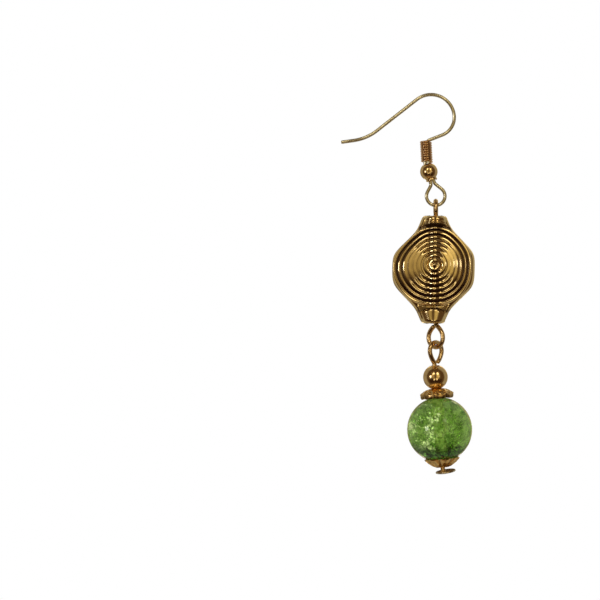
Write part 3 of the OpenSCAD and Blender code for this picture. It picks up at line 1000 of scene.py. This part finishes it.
def patina_and_shade_mask(points, bead):
    """How dark each point of the ripple bead is made: patinated grooves, with painted shade in the lower and
    upper sectors and in the creases by the tubes
    """
    x, height = points[:, 0] / MM, points[:, 2] / MM
    z = height - bead.rise / MM
    angles, reach = np.arctan2(z, x), np.hypot(x, z)
    out, edge = bead_outlines(angles, bead)
    u = np.clip(reach / edge, 0, 1.06)
    for _ in range(4):
        u = np.clip(reach / ring_reach(u, edge), 0, 1.2)
    phase = np.minimum(u, 1) * bead.rings
    # In the lower half the clean band of each ring sits a little inwards of its crest, so that the painted
    # shade spares the highlights on the inner slopes
    off = 2 * np.abs(phase - np.round(phase) + 0.15 * np.clip(-np.sin(angles), 0, 1))
    facing = np.clip(np.abs(points[:, 1]) / MM - 1.0, 0, 0.3) / 0.3
    outer = np.clip((phase - 5.9) / 0.5, 0, 1)
    # Painted shade: the grooves darken far more in the lower and upper sectors than at the sides, and more
    # below than above; the outer rings darken more too
    dark = np.where(np.sin(angles) < 0, 1.0, 0.45)
    strength = np.clip(0.12 + dark * np.sin(angles) ** 4 + 0.75 * outer, 0, 1)
    mask = np.clip((off - 0.28) / 0.26, 0, 1) * facing * strength
    # Painted shade in the creases where the round tubes meet the rings
    for level, bow, near in ((TUBE_TOP, -0.42, 0.30), (-TUBE_BOTTOM, -0.32, 0.24)):
        arch = level + bow * (x / 2.1) ** 2
        crease = np.exp(-((height - arch) / near) ** 2) * (np.abs(x) < 2.6)
        mask = np.maximum(mask, crease * np.clip(out - reach, 0, 0.3) / 0.3)
    return mask


class EARRING_OT_ripple_bead(PieceOperator):
    """The flat cast bead: rings, a spine over the hole, and a round tube at each end"""
    bl_idname = "earring.ripple_bead"
    bl_label = "Ripple bead"

    def execute(self, context):
        bead, look = context.scene.earring_bead, context.scene.earring_finish
        material = patinated_relief()
        made = mesh_object("ripple_bead_cast", ripple_body(bead))
        grow(made, ripple_tree(), {"Depth": bead.ring_depth, "Fullness": 2.0, "Material": material})
        for way, start, arch, ridge in ((1, TUBE_TOP, -0.42, 0.05), (-1, TUBE_BOTTOM, 0.32, 0.0)):
            carve(made, mesh_object("tube", neck_tube(bead, way, start, arch, ridge)), "UNION")
        r, far = bead.bore / 2, 20 * MM
        hole = lathe("hole", [(0.0, -far), (r, -far), (r, far), (0.0, far)], segments=48, closed=False)
        carve(made, mesh_object("hole", hole), "DIFFERENCE")
        mesh = made.data
        # Patinated grooves and painted shade, stored as the point attribute that the material reads
        attribute(mesh, "groove", patina_and_shade_mask(coordinates(mesh), bead) * look.patina_and_shade_share)
        at = chain_heights(context)
        mesh.transform(Matrix.Translation(((at["x"] + BEAD_SHIFT) * MM, 0, at["bead"] * MM))
                       @ Matrix.Rotation(bead.lean, 4, "Y"))
        smooth(mesh, 38)
        settle(made, "flat_bead", ["ripple_bead"], material)
        return {"FINISHED"}


def pin_bend(context):
    """Where the lower pin leaves its loop, in millimetres, and how far the loop's side bends, in degrees"""
    at, wire = chain_heights(context), context.scene.earring_wires.pin_wire / MM
    inner, rise = pear_bends(HEAD_LOOP, HEAD_SIDE, HEAD_NECK, HEAD_SPREAD, HEAD_ASIDE)
    z = at["drop_swing"] + wire + WIRE_GAP - HEAD_LOOP - rise
    return Vector((at["x"] - HEAD_ASIDE * math.cos(EYE_TURN), -HEAD_ASIDE * math.sin(EYE_TURN), z)), inner


def on_pin(context):
    """Places a piece with the middle of the glass bead at its origin and the pin along Z"""
    spot, _ = pin_bend(context)
    return (Matrix.Translation(spot * MM) @ Matrix.Rotation(-context.scene.earring_drop.lean, 4, "Y")
            @ Matrix.Translation((0, 0, -PIN_TOP * MM)))


class EARRING_OT_head_pin(PieceOperator):
    """The lower pin: its loop, its leaning shaft and its bent flat head"""
    bl_idname = "earring.head_pin"
    bl_label = "Head pin"

    def execute(self, context):
        sizes = context.scene.earring_wires
        spot, inner = pin_bend(context)
        cos, sin = math.cos(EYE_TURN), math.sin(EYE_TURN)
        steps = [(0, HEAD_NECK, HEAD_SPREAD), (0, HEAD_SIDE, inner - HEAD_SPREAD),
                 (0, HEAD_LOOP, -HEAD_ROUND - inner), (0, HEAD_END, -END_TURN)]
        loop = [spot + Vector((-z * cos, -z * sin, x)) for x, z, _ in poses_along((0, 0, 0), steps)]
        place = on_pin(context)
        points = [p * MM for p in reversed(loop)]
        points += [place @ Vector((0, 0, z * MM)) for z in (PIN_TOP - 0.6, 4.0, 0.0, HEAD_Z - 0.1)]
        made = wire_piece("head_pin_wire", points, sizes.pin_wire, pin_gold_wire())
        r, t = sizes.head / 2, 0.25 * MM
        rim = t * 0.4
        profile = [(0.0, -t), (r * 0.6, -t * 0.98)] + arc((r - rim, -t * 0.6), rim, -90, 0, 5)
        profile += arc((r - rim, -rim), rim, 0, 90, 5) + [(r * 0.6, -0.02 * MM), (0.0, -0.03 * MM)]
        head = lathe("flat_head", profile, segments=72, closed=False)
        head.transform(place @ Matrix.Translation((FLAT_ASIDE * MM, 0, HEAD_Z * MM))
                       @ Matrix.Rotation(FLAT_TIP_X, 4, "X") @ Matrix.Rotation(FLAT_TIP_Y, 4, "Y"))
        smooth(head)
        settle(made, "drop", ["head_pin"])
        settle(mesh_object("flat_head", head), "drop", [], worn_head())
        return {"FINISHED"}


def drilled_ball(name, ball, bore, edge, segments=96, rows=64):
    """A ball with a hole along Z whose mouths are slightly rounded"""
    opening = math.degrees(math.asin((bore + edge) / ball))
    mouth = ball * math.cos(math.radians(opening))
    profile = arc((0, 0), ball, -(90 - opening), 90 - opening, rows)
    profile += [(bore + edge * 0.4, mouth - edge * 0.1), (bore, mouth - edge * 0.6)]
    profile += [(bore, mouth * k) for k in (0.5, 0.0, -0.5)]
    profile += [(bore, -mouth + edge * 0.6), (bore + edge * 0.4, -mouth + edge * 0.1)]
    return lathe(name, profile, segments)


class EARRING_OT_spacer_ball(PieceOperator):
    """The ball between the loop and the upper cap"""
    bl_idname = "earring.spacer_ball"
    bl_label = "Spacer ball"

    def execute(self, context):
        drop = context.scene.earring_drop
        mesh = drilled_ball("spacer_ball_shell", drop.spacer / 2, bore=0.45 * MM, edge=0.12 * MM)
        mesh.transform(on_pin(context) @ Matrix.Translation((0, 0, SPACER_Z * MM)))
        smooth(mesh)
        made = mesh_object("spacer_ball_shell", mesh)
        settle(made, "drop_beads", ["spacer_ball"], warm_gold())
        return {"FINISHED"}


def along(points, share_of):
    """The point at a share of a polyline's length"""
    points = np.array(points, dtype=float)
    steps = np.hypot(*np.diff(points, axis=0).T)
    reach = np.concatenate([[0], np.cumsum(steps)]) / steps.sum()
    return np.array([np.interp(share_of, reach, points[:, 0]), np.interp(share_of, reach, points[:, 1])])


def petal(name, outer, inner, petals, relief):
    """One petal of a cap: outer and inner walls between two radial cuts, joined at hole and rim"""
    across, down = 18, 30
    half = math.pi / petals
    points, masks, faces = [], [], []
    for wall in (outer, inner):
        for t in np.linspace(0, 1, down):
            near = along(wall, min(1, t + 0.02)) - along(wall, max(0, t - 0.02))
            normal = np.array([near[1], -near[0]]) / max(1e-9, np.hypot(*near))
            if normal[np.argmax(np.abs(normal))] < 0:
                normal = -normal
            for a in np.linspace(-1, 1, across):
                lift, scallop, mask = relief(a, t, wall is outer)
                r, z = along(wall, t) + normal * lift
                z += scallop
                points.append((r * math.cos(a * half) * MM, r * math.sin(a * half) * MM, z * MM))
                masks.append(mask)
    size = across * down
    for k in range(down - 1):
        for i in range(across - 1):
            a, b = k * across + i, (k + 1) * across + i
            faces += [(a, a + 1, b + 1, b), (size + a, size + b, size + b + 1, size + a + 1)]
    for i in range(across - 1):
        a = size - across + i
        faces += [(i, size + i, size + i + 1, i + 1), (a, a + 1, size + a + 1, size + a)]
    mesh = mesh_from(name, points, faces)
    attribute(mesh, "groove", masks)
    return mesh


def hill(*offsets):
    """1 at the middle of a soft hill, and less with each offset, given in widths of the hill"""
    return math.exp(-sum(offset ** 2 for offset in offsets))


def held(value):
    return min(1.0, max(0.0, value))


def upper_relief(a, t, outside):
    """Looped rims with a shining dot inside, and notches between the petals; the mask darkens the hollows and
    paints shade on the turned-down lip
    """
    notch = held((t - 0.6) / 0.4) ** 2 * abs(a) ** 4
    if not outside:
        return -0.05 * notch, 0.16 * notch, 0.0
    ring = math.hypot(a, (t - 0.80) / 0.52)
    rim = hill((ring - 0.82) / 0.13) * held((0.86 - t) / 0.1)
    dot = hill(a / 0.26, (t - 0.68) / 0.06)
    small = hill((1 - abs(a)) / 0.2, (t - 0.74) / 0.05)
    gully = abs(a) ** 8 * (1 - small)
    lift = 0.10 * rim * (t > 0.2) + 0.19 * dot + 0.12 * small - 0.08 * gully * held(t * 2)
    # Patina in the gully and the hollow round the dot; the last term is painted shade on the turned-down lip
    mask = held(0.6 * gully + 0.5 * hill((ring - 0.52) / 0.17) * (1 - dot) + 0.4 * held((t - 0.80) / 0.06))
    return lift, 0.12 * notch, mask * held(t * 3)


def lower_relief(a, t, outside):
    """Ridges that run from the pin to a bead at each petal's tip"""
    notch = held((t - 0.6) / 0.4) ** 2 * abs(a) ** 3
    if not outside:
        return -0.05 * notch, 0.2 * notch, 0.0
    ridge = hill((abs(a) - 0.45) / 0.2) * held(t * 2.5)
    dot = hill(a / 0.4, (t - 0.9) / 0.08)
    gully = abs(a) ** 5
    lift = 0.10 * ridge + 0.16 * dot - 0.14 * gully * held(t * 2)
    mask = held(0.7 * gully + 0.3 * hill(a / 0.18) * (1 - dot))
    return lift, 0.2 * notch, mask * held(t * 3)


# The caps: piece, node, way up, relief, and the outer and the inner wall as radius and distance from the
# middle of the glass
CAPS = (
    ("upper_cap_petals", "upper_cap", 1, upper_relief,
     [(0.5, 6.17), (0.75, 6.19), (1.0, 6.36), (1.25, 6.25), (1.98, 5.9), (2.5, 5.48), (2.56, 5.1),
      (2.42, 4.79)],
     [(0.5, 5.84), (1.5, 5.84), (2.0, 5.62), (2.28, 5.3), (2.3, 5.0), (2.27, 4.84)]),
    ("lower_cap_petals", "lower_cap", -1, lower_relief,
     [(0.5, 5.83), (0.85, 5.8), (1.3, 5.6), (2.15, 5.02), (2.64, 4.42)],
     [(0.5, 5.52), (0.8, 5.46), (1.2, 5.33), (2.0, 4.87), (2.56, 4.36)]))


class EARRING_OT_bead_caps(PieceOperator):
    """The two scalloped caps that hold the glass bead"""
    bl_idname = "earring.bead_caps"
    bl_label = "Bead caps"

    def execute(self, context):
        petals, material, tree = context.scene.earring_drop.petals, cap_gold(), petal_tree()
        for name, node, way, relief, outer, inner in CAPS:
            made = mesh_object(name, petal(name, outer, inner, petals, relief))
            grow(made, tree, {"Petals": petals, "Material": material})
            mesh = made.data
            face_outwards(mesh, 1e-6)
            turn = Matrix.Rotation(math.radians(11), 4, "Z")
            mesh.transform(on_pin(context) @ Matrix.Diagonal((1, 1, way, 1)) @ turn)
            face_outwards(mesh, 1e-6)
            smooth(mesh, 60)
            settle(made, "drop_beads", [node], material)
        return {"FINISHED"}


class EARRING_OT_glass_bead(PieceOperator):
    """The crackled glass bead: a drilled ball of glass and the crack planes inside it"""
    bl_idname = "earring.glass_bead"
    bl_label = "Glass bead"

    def execute(self, context):
        drop = context.scene.earring_drop
        place = on_pin(context)
        centre, radius = place.translation, drop.glass / 2
        mesh = drilled_ball("glass_ball", radius - 0.005 * MM, bore=drop.glass_bore / 2, edge=0.18 * MM,
                            segments=128, rows=96)
        mesh.transform(place)
        smooth(mesh)
        ball = mesh_object("glass_ball", mesh)
        settle(ball, "drop_beads", ["crackle_bead"], crackle_glass(centre, radius))
        mesh.materials.append(ground_hole())
        axis = (place.to_3x3() @ Vector((0, 0, 1))).normalized()
        for face in mesh.polygons:
            out = face.center - centre
            if (out - axis * out.dot(axis)).length < drop.glass_bore / 2 + 0.03 * MM:
                face.material_index = 1
        ragged = (1.0, 0.72, 1.1, 0.8, 0.95, 1.15, 0.7, 1.0, 0.85)
        corners = len(ragged)
        turn = [2 * math.pi * i / corners for i in range(corners)]
        ring = [(0.5 * reach * math.cos(a), 0.5 * reach * math.sin(a), 0.10 * math.sin(2 * a + 0.6))
                for reach, a in zip(ragged, turn)]
        shard = mesh_from("glass_cracks", [(0, 0, 0.06)] + ring,
                          [(0, 1 + i, 1 + (i + 1) % corners) for i in range(corners)])
        cracks, material = mesh_object("glass_cracks", shard), crack_planes(centre, radius)
        grow(cracks, crack_tree(), {
            "Planes": drop.cracks, "Ball": radius - 0.5 * MM, "Hole": 0.82 * MM,
            "Size": drop.crack_size, "Seed": drop.seed, "Material": material})
        cracks.data.transform(place)
        settle(cracks, "drop_beads", [], material)
        return {"FINISHED"}


WHITE = (1, 1, 1, 1)

# Windows of the dim room: middle and half width to the right, middle and half height, and soft edge, all in
# degrees, and the light's colour
WINDOWS = (
    (0, 60, -34, 12, 12, (0.035, 0.016, 0.008)), (0, 9, 34, 12, 10, (0.050, 0.026, 0.014)),
    (-21, 5, 2, 5, 12, (0.40, 0.31, 0.14)), (21, 6, 2, 6, 12, (0.58, 0.46, 0.20)),
    (23, 7, 20, 7, 10, (0.86, 0.70, 0.34)), (-25, 6, 20, 7, 10, (0.47, 0.37, 0.18)),
    (22, 4, 34, 4, 7, (4.0, 3.5, 2.4)), (-21, 4, 34, 4, 7, (4.0, 3.5, 2.4)),
    (13, 3, -18, 3, 6, (1.9, 1.65, 1.1)), (-12, 3, -21, 3, 6, (1.9, 1.65, 1.1)))

# Colours of the room's walls and floor and of the pale band behind, and how much brighter the room shows
# through the glass
WALLS, GROUND, BAND = (0.095, 0.055, 0.024, 1), (0.30, 0.19, 0.10, 1), (0.34, 0.31, 0.24, 1)
THROUGH_GLASS = (4.5, 5.6, 9.5)

# Softboxes: how far away in metres, then degrees to the right and up, width, height and power of each
SOFTBOX_AWAY = 0.5
SOFTBOXES = {"left_softbox": (-49, 3, 0.09, 0.12, 0.24), "right_softbox": (34, 3, 0.06, 0.06, 0.022)}


def world_light():
    """White to the camera and through the glass; the metal sees a dim warm room, mirrored at the back"""
    world = bpy.data.worlds.new("earring_studio")
    bpy.context.scene.world = world
    world.use_nodes = True
    nodes = emptied(world.node_tree)
    way = nodes.parts(nodes.add("ShaderNodeTexCoord").outputs["Generated"])
    across = nodes.maths("ARCTAN2", way["X"], nodes.maths("ABSOLUTE", way["Y"]))
    up = nodes.maths("ARCSINE", way["Z"])

    def near(value, middle, half, soft):
        """1 within so many degrees of the middle, with a soft edge"""
        off = nodes.maths("ABSOLUTE", nodes.maths("SUBTRACT", value, math.radians(middle)))
        return nodes.spread(off, math.radians(half), math.radians(half + soft), 1.0, 0.0)

    room = WALLS
    for right, half_width, height, half_height, soft, light in WINDOWS:
        window = nodes.product(near(across, right, half_width, soft), near(up, height, half_height, soft))
        room = nodes.mix(window, room, (*light, 1))
    below = nodes.spread(up, math.radians(-78), math.radians(-50), 1.0, 0.0)
    room = nodes.mix(below, room, GROUND)
    behind = nodes.spread(way["Y"], -0.10, 0.12)
    pale = nodes.product(behind, nodes.spread(way["Y"], 0.76, 0.86, 1.0, 0.0))
    around = nodes.mix(pale, room, BAND)
    through = nodes.mix(behind, nodes.vector("MULTIPLY", room, THROUGH_GLASS), WHITE)
    rays = nodes.add("ShaderNodeLightPath").outputs
    tone = nodes.mix(rays["Is Transmission Ray"], around, through)
    nodes.surface("ShaderNodeBackground", {
        "Color": nodes.mix(rays["Is Camera Ray"], tone, WHITE), "Strength": 1.0})


def softbox(name, share_of, target):
    azimuth, elevation, width, height, power = SOFTBOXES[name]
    data = bpy.data.lights.new(name, "AREA")
    data.shape = "RECTANGLE"
    data.size, data.size_y = width, height
    data.energy = power * share_of
    data.color = (1.0, 0.97, 0.9)
    made = bpy.data.objects.new(name, data)
    bpy.context.scene.collection.objects.link(made)
    a, e = math.radians(azimuth), math.radians(elevation)
    way = Vector((math.sin(a) * math.cos(e), -math.cos(a) * math.cos(e), math.sin(e)))
    made.location = target + way * SOFTBOX_AWAY
    made.rotation_euler = (-way).to_track_quat("-Z", "Y").to_euler()
    made.visible_camera = False


class EARRING_OT_stage(PieceOperator):
    """Camera at the photograph's angle, plain studio light and a pale floor"""
    bl_idname = "earring.stage"
    bl_label = "Stage"

    def execute(self, context):
        scene, stage = context.scene, context.scene.earring_stage
        data = bpy.data.cameras.new("photo_camera")
        data.sensor_width = 36
        data.lens = 36 * stage.distance / stage.frame_width
        data.clip_start = 0.01
        camera = bpy.data.objects.new("photo_camera", data)
        scene.collection.objects.link(camera)
        camera.location = (stage.centre_x, -stage.distance, stage.centre_z)
        camera.rotation_euler = (math.radians(90), 0, 0)
        scene.camera = camera
        scene.view_settings.view_transform = "Standard"
        scene.view_settings.look = "None"
        world_light()
        target = Vector((0.5, 0, -30)) * MM
        softbox("left_softbox", stage.left_lamp, target)
        softbox("right_softbox", stage.right_lamp, target)
        size = 3.0
        corners = [(x, y, stage.floor_z) for x, y in (
            (-size, -size), (size, -size), (size, size), (-size, size))]
        floor = mesh_object("pale_floor", mesh_from("pale_floor", corners, [(0, 1, 2, 3)]))
        floor.data.materials.append(once("pale_floor", lambda nodes: nodes.surface(
            "ShaderNodeEmission", {"Color": WHITE, "Strength": 1.0})))
        floor.visible_glossy = False
        floor.visible_diffuse = False
        return {"FINISHED"}


PIECES = (EARRING_OT_ear_hook, EARRING_OT_coil_wrap, EARRING_OT_hook_ball, EARRING_OT_eye_pin,
          EARRING_OT_ripple_bead, EARRING_OT_head_pin, EARRING_OT_spacer_ball, EARRING_OT_bead_caps,
          EARRING_OT_glass_bead, EARRING_OT_stage)


class EARRING_PT_panel(bpy.types.Panel):
    """Sizes, finishes and one button for each piece"""
    bl_idname = "EARRING_PT_panel"
    bl_label = "Dangle earring"
    bl_space_type = "VIEW_3D"
    bl_region_type = "UI"
    bl_category = "Earring"

    def draw(self, context):
        for key, group in GROUPS.items():
            box = self.layout.box()
            box.label(text=group.__doc__)
            for name in group.__annotations__:
                box.prop(getattr(context.scene, key), name)
        for piece in PIECES:
            self.layout.operator(piece.bl_idname)


def register():
    for group in GROUPS.values():
        bpy.utils.register_class(group)
    for key, group in GROUPS.items():
        setattr(bpy.types.Scene, key, bpy.props.PointerProperty(type=group))
    for kind in (*PIECES, EARRING_PT_panel):
        bpy.utils.register_class(kind)


def unregister():
    for kind in (EARRING_PT_panel, *reversed(PIECES)):
        bpy.utils.unregister_class(kind)
    for key in GROUPS:
        delattr(bpy.types.Scene, key)
    for group in reversed(list(GROUPS.values())):
        bpy.utils.unregister_class(group)


def main():
    register()
    bpy.ops.earring.ear_hook()
    bpy.ops.earring.coil_wrap()
    bpy.ops.earring.hook_ball()
    bpy.ops.earring.eye_pin()
    bpy.ops.earring.ripple_bead()
    bpy.ops.earring.head_pin()
    bpy.ops.earring.spacer_ball()
    bpy.ops.earring.bead_caps()
    bpy.ops.earring.glass_bead()
    bpy.ops.earring.stage()


if __name__ == "__main__":
    main()
